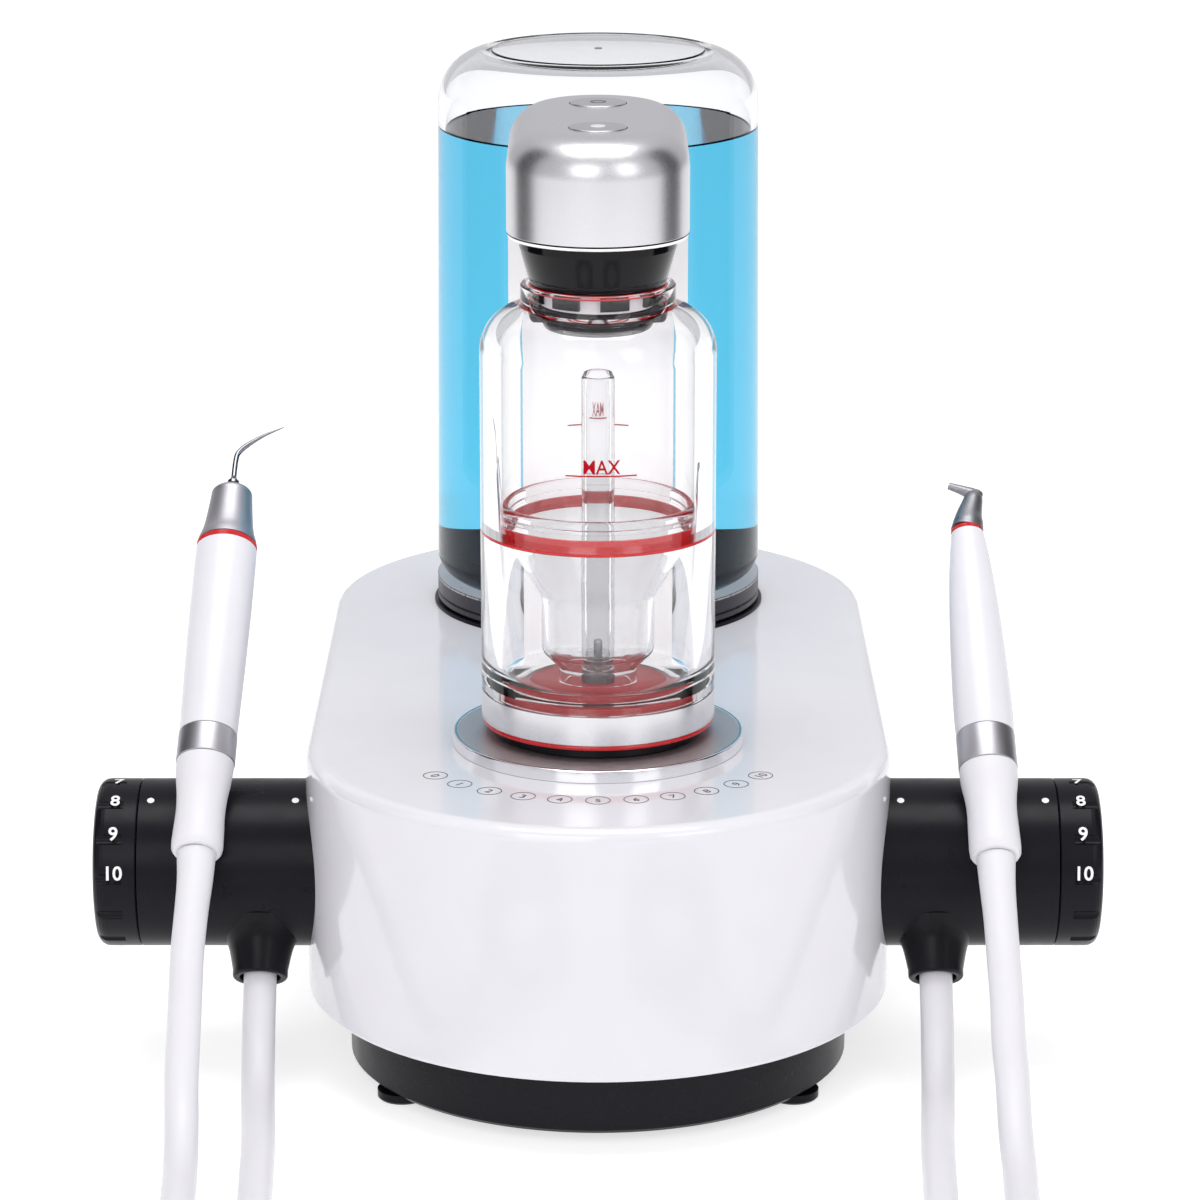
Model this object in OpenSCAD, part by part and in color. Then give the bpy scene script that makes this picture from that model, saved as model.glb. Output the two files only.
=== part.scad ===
// Table-top dental prophylaxis unit: ultrasonic scaler and air polisher.
// Millimetres, +Z up, +Y to the back, origin on the table under the middle of the housing.

/* [Housing] */
// Radius of the housing's round ends
body_r = 75.5; // [75:0.5:77]
// Distance from the powder chamber's axis to the bottle's axis
axis_gap = 141; // [140:1:142]
// Height of the housing's flat top above the table
body_top = 85.5; // [85:0.5:86]
// Thickness of the housing's wall
wall = 3; // [2.5:0.5:3]
// Radius of the housing's rounded top edge
top_round = 3.5; // [3:0.5:5]

/* [Plinth and feet] */
// Radius of the plinth's round ends
plinth_r = 64.7; // [63:0.1:65]
// Height of the rubber feet
foot_h = 2.5; // [2.5:0.5:2.5]
// Height of the housing's lower edge above the table
body_z = 20; // [20:1:20]

/* [Side arms] */
// Radius of the two side arms
arm_r = 21.75; // [21.5:0.25:22]
// Height of the arms' common axis
arm_z = 52.5; // [52:0.5:53]
// Distance from the middle to the knob end of each arm
arm_end = 118; // [117:0.5:119]
// Width of each control knob
knob_w = 11.2; // [10.5:0.1:12]

/* [Powder chamber] */
// Outer radius of the chamber
chamber_r = 30; // [29.5:0.5:30]
// Wall of the clear chamber
chamber_wall = 5; // [4.5:0.5:5]
// Height of the red seam ring's lower face
seam_z = 142.2; // [141:0.2:143]

/* [Head] */
// Radius of the head's round ends
head_r = 23; // [22.5:0.5:23.5]
// Height of the head's underside above the table
head_z = 217.8; // [217:0.2:218]
// Height of the head's flat top above the table
head_top = 245; // [244:0.5:246]
// Radius of the head's rounded top edge
head_round = 10; // [9:0.5:10]
// How far the head lifts to free the chamber
head_lift = 22; // [18:1:22]

/* [Bottle] */
// Outer radius of the water bottle at its cap
bottle_r = 46; // [45:0.5:46]
// How much smaller the bottle's radius is at its flat end
bottle_taper = 1.2; // [0:0.1:1.5]
// Height of the bottle's flat end above the table
bottle_top = 244; // [240:0.2:250]
// Height of the water in the bottle above the table
water_z = 222.5; // [180:0.1:226]

/* [Handpieces] */
// How far the resting handpieces lean back from upright
lean = 49; // [48:1:50]
// How far the scaler leans in towards the middle
scaler_tilt = 2.1; // [0:0.1:3]
// How far the air polisher leans in towards the middle
polisher_tilt = 1.6; // [0:0.1:3]

/* [Hoses] */
// Outer diameter of the two handpiece hoses
hose_d = 8.5; // [8:0.5:8.5]

/* [Hidden] */
$fn = 96;
eps = 0.01;
chamber_y = -axis_gap / 2;
bottle_y = axis_gap / 2;
front = [0, chamber_y, 0];
back = [0, bottle_y, 0];
inner_r = body_r - wall;

// Screws that hold the chassis plate to the housing, as angles round each end
screw_ring = body_r - 17.5;
screw_angles = [30, 150];
screw_r = 1.5;

// Dock under the chamber
dock_r = 37.4;
dock_top = body_top + 3.2;
socket_r = 20.4;

// Column and the post that the head lifts on
column_y = chamber_y + 38.8;
column_cut = chamber_r + 1.5;
post_y = chamber_y + 46.5;
post_r = 8;
post_low = head_z - 32 - 3 * head_lift;
running = 0.05;

// Chamber levels
chamber_floor = 91.6;
band_top = 100.5;
seam_h = 3.1;
neck_top = 204.4;
neck_r = 19;
neck_bore = 16;
inner_tube_r = 4.2;

// Bottle levels
cap_z = body_top + 1.2;
cap_top = 93.6;
cap_groove_z = 88.8;
bottle_wall = 2;
bottle_end_r = bottle_r - bottle_taper;
spigot_r = 8;
spigot_top = 91.5;

// Buttons in the head's top
button_r = 7.25;
button_gap = 0.2;

// Valve, spindle and gland in each arm
arm_bore = 16.5;
valve_r = 10.5;
valve_x = 84;
valve_w = 26;
spindle_r = 3;
gland_x = 87;
gland_angle = 52;
gland_mouth = 31.8;
gland_recess = 3;
number_pitch = 27;
first_groove = 20.7;
grooves = 13;

// Middle of each handpiece's lower face on its rest
scaler_seat = [-102, -97, 63.5];
polisher_seat = [101, -98, 62.7];

// Hose routes: [x, y, z] from the gland to the coil, and from the coil to the handpiece
hose_r = hose_d / 2;
coil_x = 92;
coil_y = -283;
coil_in = 34.75;
coil_out = 60.25;
left_gland_route = [[-87, -88.2, 29.8], [-87, -93, 23.6], [-87, -97.5, 18], [-86.8, -103, 12.3],
    [-86.5, -110, 7.9], [-86, -117.7, 5.2], [-85.4, -126, 4.25], [-84, -145, 4.25],
    [-83, -165, 4.25], [-82, -185, 4.25], [-81, -199, 4.25], [-77, -211, 4.25],
    [-70, -223, 4.25], [-59, -235, 4.25], [-48, -247, 4.25], [-41, -259, 4.25],
    [-37, -271, 4.25], [-36, -283, 4.25]];
left_tool_route = [[-148, -283, 12.75], [-147, -271, 12.1], [-143, -259, 10.3],
    [-136, -247, 8], [-125, -235, 5.8], [-114, -223, 4.6], [-106, -211, 4.25],
    [-101.5, -199, 4.25], [-100.5, -187, 4.25], [-101, -175, 4.3], [-101.5, -165, 5.1],
    [-102, -156, 8.1], [-102.5, -148, 12.9], [-103, -141, 19], [-103, -134, 26.4],
    [-103, -126, 35.3], [-103, -118, 43.9], [-102.5, -110, 51.9], [-102, -103, 58.3],
    [-102, -97.2, 63.3]];
right_tool_route = [[148, -283, 12.75], [147, -271, 12.1], [143, -259, 10.3],
    [136, -247, 8], [125, -235, 5.8], [114, -223, 4.6], [106.5, -211, 4.25],
    [102.5, -199, 4.25], [101.5, -187, 4.25], [102, -175, 4.3], [102.5, -165, 5.1],
    [102.5, -156, 8.1], [102.5, -148, 12.9], [102.5, -141, 19], [102, -134, 26.4],
    [102, -127, 34.3], [101.6, -119, 43.2], [101.3, -111, 51.1], [101, -104, 57.5],
    [101, -98.2, 62.5]];
right_gland_route = [for (p = left_gland_route) [-p[0], p[1], p[2]]];

// ---- helpers ----

// Points on a circular arc from angle a0 to a1
function arc(cx, cy, r, a0, a1, n = 6) =
    [for (i = [0:n]) [cx + r * cos(a0 + (a1 - a0) * i / n), cy + r * sin(a0 + (a1 - a0) * i / n)]];

function unit(v) = v / norm(v);

function along(route, i) =
    unit(route[min(i + 1, len(route) - 1)] - route[max(i - 1, 0)]);

// Solid with two round ends on the Y axis; children are its half section, x out and y up
module pill(y0, y1) {
    translate([0, y0, 0]) rotate([0, 0, 180]) rotate_extrude(angle = 180) children();
    translate([0, y1, 0]) rotate_extrude(angle = 180) children();
    translate([0, y1, 0]) rotate([90, 0, 0]) linear_extrude(y1 - y0) {
        children();
        mirror([1, 0]) children();
    }
}

// Half section of a plain slab
module slab(r, z0, z1) {
    translate([0, z0]) square([r, z1 - z0]);
}

// Solid of revolution from a list of [radius, height]
module turned(points) {
    rotate_extrude() polygon(points);
}

module ring(r_out, r_in, z0, z1) {
    translate([0, 0, z0]) difference() {
        cylinder(r = r_out, h = z1 - z0);
        translate([0, 0, -1]) cylinder(r = r_in, h = z1 - z0 + 2);
    }
}

module rod_x(r, x0, x1) {
    translate([x0, 0, 0]) rotate([0, 90, 0]) cylinder(r = r, h = x1 - x0);
}

// Round tube along a route, as one closed polyhedron
module swept(route, r, sides = 8) {
    n = len(route);
    points = [for (i = [0:n - 1]) let (
        t = along(route, i), side = unit(cross(t, [0, 0, 1])), up = cross(side, t))
        for (k = [0:sides - 1]) route[i]
            + r * (cos(360 * k / sides) * side + sin(360 * k / sides) * up)];
    walls = [for (i = [0:n - 2], k = [0:sides - 1]) let (j = (k + 1) % sides)
        [i * sides + k, i * sides + j, (i + 1) * sides + j, (i + 1) * sides + k]];
    start = [for (k = [sides - 1:-1:0]) k];
    end = [for (k = [0:sides - 1]) (n - 1) * sides + k];
    polyhedron(points, concat(walls, [start, end]));
}

module at_arm() {
    translate([0, chamber_y, arm_z]) children();
}

// Handpiece frame: +Z along the handpiece from its lower face
module at_seat(seat) {
    tilt = seat[0] < 0 ? scaler_tilt : -polisher_tilt;
    translate(seat) rotate([-lean, 0, 0]) rotate([0, tilt, 0]) children();
}

module at_screws() {
    for (a = screw_angles) {
        translate(back) rotate([0, 0, a]) translate([screw_ring, 0, 0]) children();
        translate(front) rotate([0, 0, -a]) translate([screw_ring, 0, 0]) children();
    }
}

// ---- plinth, feet and housing ----

inlet_z = 11.5;
panel_y = bottle_y + 58.5;
panel_t = 3.5;

module base_plinth() {
    color("#202024") difference() {
        union() {
            difference() {
                pill(chamber_y, bottle_y) polygon([[0, foot_h], [plinth_r - 1, foot_h],
                    [plinth_r, foot_h + 1], [plinth_r, body_z], [0, body_z]]);
                pill(chamber_y, bottle_y) slab(plinth_r - wall, foot_h + wall, body_z + 1);
            }
            translate([-33, panel_y - panel_t, foot_h]) cube([66, panel_t, body_z - foot_h]);
        }
        translate([-50, panel_y, 0]) cube([100, 20, body_z + 1]);
        for (x = [-20, -2]) translate([x, panel_y - 14, inlet_z])
            rotate([-90, 0, 0]) cylinder(r = 5, h = 20);
        translate([11, panel_y - 14, inlet_z - 5]) cube([18, 20, 10]);
    }
}

module rubber_feet() {
    color("#2b2b2f") for (x = [-50, 50], y = [-103, 103])
        translate([x, y, 0]) turned([[0, 0], [5.9, 0], [6.5, 0.6], [6.5, foot_h], [0, foot_h]]);
}

module chassis_plate() {
    color("#8f9296") difference() {
        pill(chamber_y, bottle_y) slab(inner_r - 0.3, body_z, body_z + 2);
        for (y = [-45, 100]) translate([0, y, body_z - 1]) cylinder(r = 12, h = 4);
        at_screws() translate([0, 0, body_z - 1]) cylinder(r = screw_r + 0.2, h = 4);
    }
}

module housing_section(r, z0, z1, round) {
    polygon(concat([[0, z0], [r - 1.5, z0], [r, z0 + 1.5]],
        arc(r - round, z1 - round, round, 0, 90, 8), [[0, z1]]));
}

module main_housing() {
    color("#f2f2f5") difference() {
        union() {
            difference() {
                pill(chamber_y, bottle_y) housing_section(body_r, body_z, body_top, top_round);
                pill(chamber_y, bottle_y) slab(inner_r, body_z - 1, body_top - top_round);
                pill(chamber_y, bottle_y) slab(inner_r - 2.5, body_z, body_top - 2.5);
            }
            at_screws() translate([0, 0, body_z + 2]) cylinder(r = 4, h = 16);
            at_screws() translate([0, -1.5, body_z + 2]) cube([body_r - 1 - screw_ring, 3, 16]);
        }
        at_screws() translate([0, 0, body_z]) cylinder(r = screw_r + running, h = 14);
        at_arm() rod_x(arm_r + 0.1, -100, 100);
        translate([0, 0, body_top - 5]) translate(front) cylinder(r = 5, h = 10);
        translate([0, 0, body_top - 5]) translate(back) cylinder(r = 4.5, h = 10);
    }
}

module housing_screws() {
    color("#b9bcc0") at_screws() difference() {
        union() {
            translate([0, 0, body_z - 2]) cylinder(r = 2.8, h = 2);
            translate([0, 0, body_z - eps]) cylinder(r = screw_r, h = 12);
        }
        translate([0, 0, body_z - 3]) cylinder(r = 1.3, h = 2, $fn = 6);
    }
}

// ---- control electronics and fluid parts inside the housing ----

module touch_board() {
    color("#1e6b3a") intersection() {
        translate(front) ring(58, 44, body_top - 4.1, body_top - 2.5);
        translate([-60, chamber_y - 60, body_top - 10]) cube([120, 44, 10]);
    }
}

module power_supply() {
    color("#a9adb3") difference() {
        translate([-34, 37, body_z + 2]) cube([68, 72, 34]);
        for (x = [-26:6.5:26]) translate([x - 1, 45, body_z + 33]) cube([2, 56, 4]);
    }
}

module drive_board() {
    color("#1e6b3a") {
        translate([-42, -113, body_z + 8]) cube([84, 68, 1.6]);
        for (x = [-38, 38], y = [-107, -51])
            translate([x, y, body_z + 2]) cylinder(r = 2.5, h = 6 + eps);
        translate([-32, -105, body_z + 9.6 - eps]) cube([26, 22, 18]);
        translate([10, -101, body_z + 9.6 - eps]) cylinder(r = 8, h = 20);
        translate([-16, -65, body_z + 9.6 - eps]) cylinder(r = 6, h = 16);
        translate([4, -73, body_z + 9.6 - eps]) cube([28, 18, 10]);
    }
}

module water_pump() {
    color("#3a3d45") translate([0, -12, 40]) {
        rod_x(12, -24, 14);
        rod_x(8, 14 - eps, 26);
        translate([-14, 0, 0]) cylinder(r = 3, h = 14);
        translate([-20, -7, body_z - 38]) cube([30, 14, 10]);
    }
}

module air_regulator() {
    color("#b5a642") translate([46, 0, body_z + 2]) {
        cylinder(r = 11, h = 28);
        translate([0, 0, 28 - eps]) cylinder(r = 6, h = 10);
    }
}

module inner_tubing() {
    color("#5aa7e0") {
        swept([[0, bottle_y, 82.5], [0, 69, 74], [-2, 58, 68], [-6, 38, 66], [-10, 14, 64],
            [-13, 0, 62], [-14, -10, 58], [-14, -12, 54]], 2.5);
        swept([[46, 0, 60.5], [45, -3, 66], [40, -10, 71], [28, -24, 74], [14, -46, 75],
            [4, -64, 77], [0, -70, 82]], 2.5);
    }
}

module inlet(x) {
    translate([x, panel_y, inlet_z]) rotate([-90, 0, 0]) difference() {
        union() {
            translate([0, 0, -panel_t - 3.5]) cylinder(r = 5 - running, h = 8);
            translate([0, 0, -panel_t - 3.5]) cylinder(r = 5.8, h = 3.5);
            translate([0, 0, 1 - eps]) cylinder(r = 6.2, h = 3);
            translate([0, 0, 4 - 2 * eps]) cylinder(r = 5, h = 7);
        }
        translate([0, 0, 1]) cylinder(r = 3, h = 12);
    }
}

module air_inlet() {
    color("#c8ccd2") inlet(-20);
}

module water_inlet() {
    color("#3f7fd0") inlet(-2);
}

module power_inlet() {
    color("#18181b") {
        difference() {
            translate([11.1, panel_y - 6, inlet_z - 4.9]) cube([17.8, 12, 9.8]);
            translate([12.6, panel_y - 1, inlet_z - 3.4]) cube([14.8, 10, 6.8]);
        }
        for (x = [16, 24]) translate([x, panel_y - 3, inlet_z]) rotate([-90, 0, 0]) cylinder(r = 1.2, h = 8);
    }
}

// ---- dock, column and bottle seat ----

module dock_ring() {
    color("#c9ccd1") difference() {
        translate(front) turned([[socket_r, body_top], [dock_r, body_top],
            [dock_r, dock_top - 0.4], [dock_r - 0.4, dock_top], [socket_r, dock_top]]);
        translate([0, 0, body_top - 1]) linear_extrude(10) column_outline(-0.1);
    }
}

// Ring magnet under the dock, and the magnet under each handpiece rest
module magnets() {
    color("#77797f") {
        translate(front) ring(30, 22, body_top - 6.5, body_top - 2.6);
        for (x = [scaler_seat[0], polisher_seat[0]]) at_arm()
            translate([x, 0, 0]) rotate([90 - lean, 0, 0])
                translate([0, 0, arm_bore - 4.1]) cylinder(r = 4, h = 3.5);
    }
}

module column_outline(t) {
    difference() {
        union() {
            translate([0, column_y]) circle(r = head_r - t);
            translate([-head_r + t, chamber_y + 8]) square([2 * (head_r - t), column_y - chamber_y - 8]);
        }
        translate([0, chamber_y]) circle(r = column_cut + t);
    }
}

module column() {
    color("#e9e9ed") difference() {
        union() {
            difference() {
                translate([0, 0, body_top]) linear_extrude(head_z - 0.3 - body_top) column_outline(0);
                translate([0, 0, body_top + 3]) linear_extrude(head_z - body_top) column_outline(2.2);
            }
            translate([0, post_y, body_top]) cylinder(r = post_r + 2, h = head_z - 0.3 - body_top);
        }
        translate([0, post_y, body_top + 3]) cylinder(r = post_r + running, h = head_z - body_top);
    }
}

module bottle_seat() {
    color("#1b1b1f") translate(back) difference() {
        turned([[0, body_top], [bottle_r + 1, body_top], [bottle_r + 1, body_top + 0.6],
            [bottle_r + 0.7, body_top + 0.9], [spigot_r, body_top + 0.9], [spigot_r, spigot_top],
            [0, spigot_top]]);
        translate([0, 0, body_top - 1]) cylinder(r = 2.5, h = 20);
    }
}

// ---- side arms, valves, glands and knobs, drawn on the +X side ----

module saddle(seat) {
    at_seat(seat) turned([[0, -12], [7.1, -12], [7.1, 19], [8.3, 26], [8.3, 44], [0, 44]]);
}

module at_gland() {
    at_arm() translate([gland_x, 0, 0]) rotate([90 + gland_angle, 0, 0]) children();
}

module arm() {
    difference() {
        at_arm() rod_x(arm_r, inner_r - 4, arm_end);
        at_arm() rod_x(arm_bore, inner_r - 5, arm_end - 6);
        at_arm() rod_x(6, arm_end - 7, arm_end + 1);
        at_gland() cylinder(r = 8.45, h = 40);
    }
}

module right_arm() {
    color("#1d1d21") difference() {
        arm();
        saddle(polisher_seat);
    }
}

module left_arm() {
    color("#1d1d21") difference() {
        mirror([1, 0, 0]) arm();
        saddle(scaler_seat);
    }
}

module valve() {
    at_arm() difference() {
        union() {
            rod_x(valve_r, valve_x, valve_x + valve_w);
            translate([valve_x, -5, -5]) mirror([1, 0, 0]) cube([8, 10, 10]);
        }
        rod_x(spindle_r + running, valve_x + 6, valve_x + valve_w + 1);
    }
}

module right_valve() {
    color("#b08d3c") valve();
}

module left_valve() {
    color("#b08d3c") mirror([1, 0, 0]) valve();
}

module gland() {
    at_gland() turned([[0, 15], [8.4, 15], [8.4, 22.6], [7.9, 23.4], [6.7, gland_mouth - 0.5],
        [6.2, gland_mouth], [5.2, gland_mouth], [5.2, gland_mouth - gland_recess],
        [0, gland_mouth - gland_recess]]);
}

module right_gland() {
    color("#141417") gland();
}

module left_gland() {
    color("#141417") mirror([1, 0, 0]) gland();
}

module knob() {
    x0 = 0.3;
    at_arm() translate([arm_end, 0, 0]) rotate([0, 90, 0]) difference() {
        turned(concat([[spindle_r, x0 + 3], [16, x0 + 3], [17, x0], [arm_r - 0.3, x0],
            [arm_r, x0 + 0.3]], arc(arm_r - 3, x0 + knob_w - 3, 3, 0, 90, 5),
            [[spindle_r, x0 + knob_w]]));
        for (k = [0:grooves - 1]) rotate([0, 0, first_groove + k * number_pitch])
            translate([arm_r + 0.6, 0, x0 + 3.6]) cylinder(r = 1.5, h = knob_w);
    }
}

module right_knob() {
    color("#1d1d21") knob();
}

module left_knob() {
    color("#1d1d21") mirror([1, 0, 0]) knob();
}

module spindle() {
    at_arm() rod_x(spindle_r, valve_x + 8, arm_end + 0.3 + knob_w - 1);
}

module right_spindle() {
    color("#c0c3c8") spindle();
}

module left_spindle() {
    color("#c0c3c8") mirror([1, 0, 0]) spindle();
}

// ---- hoses ----

module hose_coil(x) {
    translate([x, coil_y, 0]) ring(coil_out, coil_in, 0, 4 * hose_r);
}

module left_gland_hose() {
    color("#f0eff3") swept(left_gland_route, hose_r);
}

module left_hose_coil() {
    color("#f0eff3") hose_coil(-coil_x);
}

module left_tool_hose() {
    color("#f0eff3") swept(left_tool_route, hose_r);
}

module right_gland_hose() {
    color("#f0eff3") swept(right_gland_route, hose_r);
}

module right_hose_coil() {
    color("#f0eff3") hose_coil(coil_x);
}

module right_tool_hose() {
    color("#f0eff3") swept(right_tool_route, hose_r);
}

// ---- ultrasonic scaler handpiece ----

module scaler_boot() {
    color("#ededf1") at_seat(scaler_seat) turned([[0, 0], [5.6, 0], [6.3, 0.7], [6.6, 2.2],
        [6.55, 6.5], [6.3, 12], [6.55, 17], [7.1, 21.5], [7.5, 26.8], [0, 26.8]]);
}

module scaler_metal_ring() {
    color("#a8abb0") at_seat(scaler_seat) ring(7.62, 5.6, 26.8, 35.3);
}

module scaler_grip() {
    color("#f3f3f6") at_seat(scaler_seat) turned([[5.6, 35.3], [7.55, 35.3], [7.7, 45], [7.98, 60],
        [8.12, 80], [8.05, 93.3], [6, 93.3], [6, 37], [5.6, 37]]);
}

module scaler_red_ring() {
    color("#d8141c") at_seat(scaler_seat) ring(8.08, 6, 93.3, 94.8);
}

module scaler_nose() {
    color("#b4b6bb") at_seat(scaler_seat) difference() {
        turned(concat([[0, 94.8], [7.95, 94.8], [7.6, 96.4], [6.6, 99.4], [5.8, 102.4], [5.1, 107.5],
            [4.6, 111.5]], arc(2.9, 111.6, 1.7, 0, 90, 5), [[0, 113.3]]));
        translate([0, 0, 105]) cylinder(r = 1, h = 10);
    }
}

module scaler_tip() {
    color("#9fa2a7") at_seat(scaler_seat) {
        translate([0, 0, 106]) cylinder(r = 0.95, h = 8);
        translate([0, 0, 113.4]) cylinder(r = 1.5, h = 1.8, $fn = 6);
        translate([0, 0, 115]) cylinder(r1 = 0.9, r2 = 0.62, h = 8.6);
        translate([0, 0, 123.6]) sphere(r = 0.62, $fn = 24);
        translate([0, 0, 123.6]) rotate([0, 51, 0]) cylinder(r1 = 0.62, r2 = 0.25, h = 14.4);
    }
}

module piezo_stack() {
    color("#c9b27a") at_seat(scaler_seat) {
        translate([0, 0, 40]) cylinder(r = 4, h = 22);
        for (i = [0:3]) translate([0, 0, 62 + i * 4]) cylinder(r = 5.2, h = 3.4);
        translate([0, 0, 62]) cylinder(r = 2, h = 18);
        translate([0, 0, 78]) cylinder(r1 = 5, r2 = 2.4, h = 14);
    }
}

// ---- air polisher handpiece ----

module polisher_boot() {
    color("#ededf1") at_seat(polisher_seat) turned([[0, 0], [5.6, 0], [6.3, 0.7], [6.6, 2.3],
        [6.55, 8.2], [6.4, 13.5], [6.7, 18], [7.3, 22], [7.55, 26.2], [0, 26.2]]);
}

module polisher_metal_ring() {
    color("#a8abb0") at_seat(polisher_seat) ring(7.6, 3, 26.2, 36.4);
}

module polisher_grip() {
    color("#f3f3f6") at_seat(polisher_seat) turned([[3, 36.4], [7.55, 36.4], [7.7, 42], [7.5, 52],
        [7.1, 64], [6.35, 78.6], [5.35, 91.4], [4.35, 99.6], [2, 99.6], [2, 60], [3, 50]]);
}

module polisher_red_ring() {
    color("#e0525c") at_seat(polisher_seat) ring(4.35, 2, 99.6, 100.8);
}

// A piece with round ends of radii r1 and r2 between two points, for the nozzle
module horn(a, r1, b, r2) {
    hull() {
        translate(a) sphere(r = r1, $fn = 24);
        translate(b) sphere(r = r2, $fn = 24);
    }
}

module polisher_nozzle() {
    color("#8b8d92") at_seat(polisher_seat) {
        hull() {
            translate([0, 0, 100.8]) cylinder(r = 4.35, h = 0.5, $fn = 32);
            translate([2.5, 0, 110.2]) cylinder(r = 2.7, h = 0.5, $fn = 32);
        }
        horn([2.5, 0, 110.6], 2.6, [3.2, 0, 111.4], 1.9);
        horn([3.2, 0, 111.4], 1.9, [-3.6, 0, 115], 0.95);
    }
}

// ---- head with lid and buttons ----

module at_button(y) {
    translate([0, y, 0]) children();
}

module head_shell() {
    t = 2;
    color("#c4c6ca") difference() {
        pill(chamber_y, column_y) polygon(concat([[0, head_z + 1.2], [head_r, head_z + 1.2]],
            arc(head_r - head_round, head_top - head_round, head_round, 0, 90, 10), [[0, head_top]]));
        pill(chamber_y, column_y) slab(head_r - t, head_z, head_top - head_round);
        pill(chamber_y, column_y) slab(head_r - t - 5, head_z, head_top - t);
        for (y = [chamber_y, column_y]) at_button(y) translate([0, 0, head_top - 10])
            cylinder(r = button_r + button_gap, h = 20);
    }
}

module head_base() {
    color("#e6e6ea") pill(chamber_y, column_y) polygon([[0, head_z], [head_r - 0.6, head_z],
        [head_r, head_z + 0.4], [head_r, head_z + 1.2], [0, head_z + 1.2]]);
}

module head_post() {
    color("#2a2a2e") translate([0, post_y, post_low]) cylinder(r = post_r, h = head_z - post_low);
}

module lid_collar() {
    color("#121214") translate(front) turned([[0, 193.5], [13.2, 193.5], [14, 194.3], [14, 204.9],
        [15, 204.9], [15, 206.6], [17.1, 206.6], [17.4, 208], [19.9, head_z - 1.5],
        [19.9, head_z], [0, head_z]]);
}

module lid_seal() {
    color("#d8141c") translate(front) ring(18.2, 15, 204.6, 206.6);
}

module button(y) {
    at_button(y) turned([[0, head_top - 4], [8.6, head_top - 4], [8.6, head_top - 2.3],
        [button_r, head_top - 2.3], [button_r, head_top + 0.1], [button_r - 0.3, head_top + 0.4],
        [0, head_top + 0.4]]);
}

module front_button() {
    color("#d4d6da") button(chamber_y);
}

module rear_button() {
    color("#d4d6da") button(column_y);
}

// ---- powder chamber ----

module chamber_foot() {
    color("#d8141c") translate(front) {
        turned([[0, body_top + 0.3], [socket_r - 0.6, body_top + 0.3], [socket_r - 0.4, body_top + 0.6],
            [socket_r - 0.4, chamber_floor], [chamber_r - 0.2, chamber_floor],
            [chamber_r, chamber_floor + 0.3], [chamber_r, band_top],
            [chamber_r - chamber_wall - 0.2, band_top], [chamber_r - chamber_wall - 0.2, band_top + 1],
            [0, band_top + 1]]);
    }
}

module chamber_lower() {
    in = chamber_r - chamber_wall;
    color([0.85, 0.9, 0.92, 0.4]) translate(front)
        turned([[in, band_top], [chamber_r, band_top], [chamber_r, seam_z], [in, seam_z]]);
}

module chamber_upper() {
    in = chamber_r - chamber_wall;
    seam_top = seam_z + seam_h;
    color([0.85, 0.9, 0.92, 0.4]) translate(front) turned(concat(
        [[in, seam_z], [chamber_r, seam_z], [chamber_r, seam_top]],
        arc(chamber_r - 12, 188.5, 12, 0, 84, 7),
        [[neck_r - 1, 201], [neck_r, 201.5], [neck_r, neck_top - 0.4], [neck_r - 0.4, neck_top],
        [neck_bore, neck_top], [neck_bore, 199]], arc(in - 9, 187, 9, 84, 0, 6)));
}

module powder_funnel() {
    color([0.85, 0.88, 0.9, 0.5]) translate(front) {
        turned([[24.8, 139.5], [24.8, 150], [22.6, 150], [22.6, 143], [13, 125.5], [13, 111],
            [8.6, 106.5], [8.6, band_top + 1], [10.1, band_top + 1], [10.1, 106], [14.5, 110.4],
            [14.5, 124.5], [22.8, 139.5]]);
        ring(inner_tube_r, 3, band_top + 1, 182.1);
        for (a = [0:120:240]) rotate([0, 0, a]) translate([inner_tube_r - 0.4, -0.8, 112])
            cube([9.8, 1.6, 10]);
    }
}

// ---- water bottle ----

module bottle() {
    r = bottle_r;
    t = bottle_wall;
    color([0.6, 0.85, 0.95, 0.35]) translate(back) turned(concat(
        [[12, cap_top]], arc(r - 7, cap_top + 7, 7, -90, 0, 5),
        arc(bottle_end_r - 14, bottle_top - 14, 14, 0, 90, 8), [[0, bottle_top], [0, bottle_top - t]],
        arc(bottle_end_r - 14, bottle_top - 14, 14 - t, 90, 0, 8),
        arc(r - 7, cap_top + 7, 7 - t, 0, -90, 5), [[12, cap_top + t]]));
}

module bottle_water() {
    r = bottle_r - bottle_wall - 0.1;
    color([0.25, 0.75, 0.9, 0.6]) translate(back) turned([[0, cap_top + 4], [r - 5, cap_top + 4],
        [r, cap_top + 9], [r - bottle_taper, water_z], [0, water_z]]);
}

module bottle_cap() {
    r = bottle_r;
    color("#3a3a42") translate(back) difference() {
        turned([[0, cap_z], [r - 0.5, cap_z], [r, cap_z + 0.5], [r, cap_groove_z - 0.4],
            [r - 0.6, cap_groove_z], [r, cap_groove_z + 0.4], [r, cap_top], [11.8, cap_top],
            [11.8, cap_top + 3.5], [0, cap_top + 3.5]]);
        translate([0, 0, cap_z - 1]) cylinder(r = spigot_r + 0.5, h = 6.6);
    }
}

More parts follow.
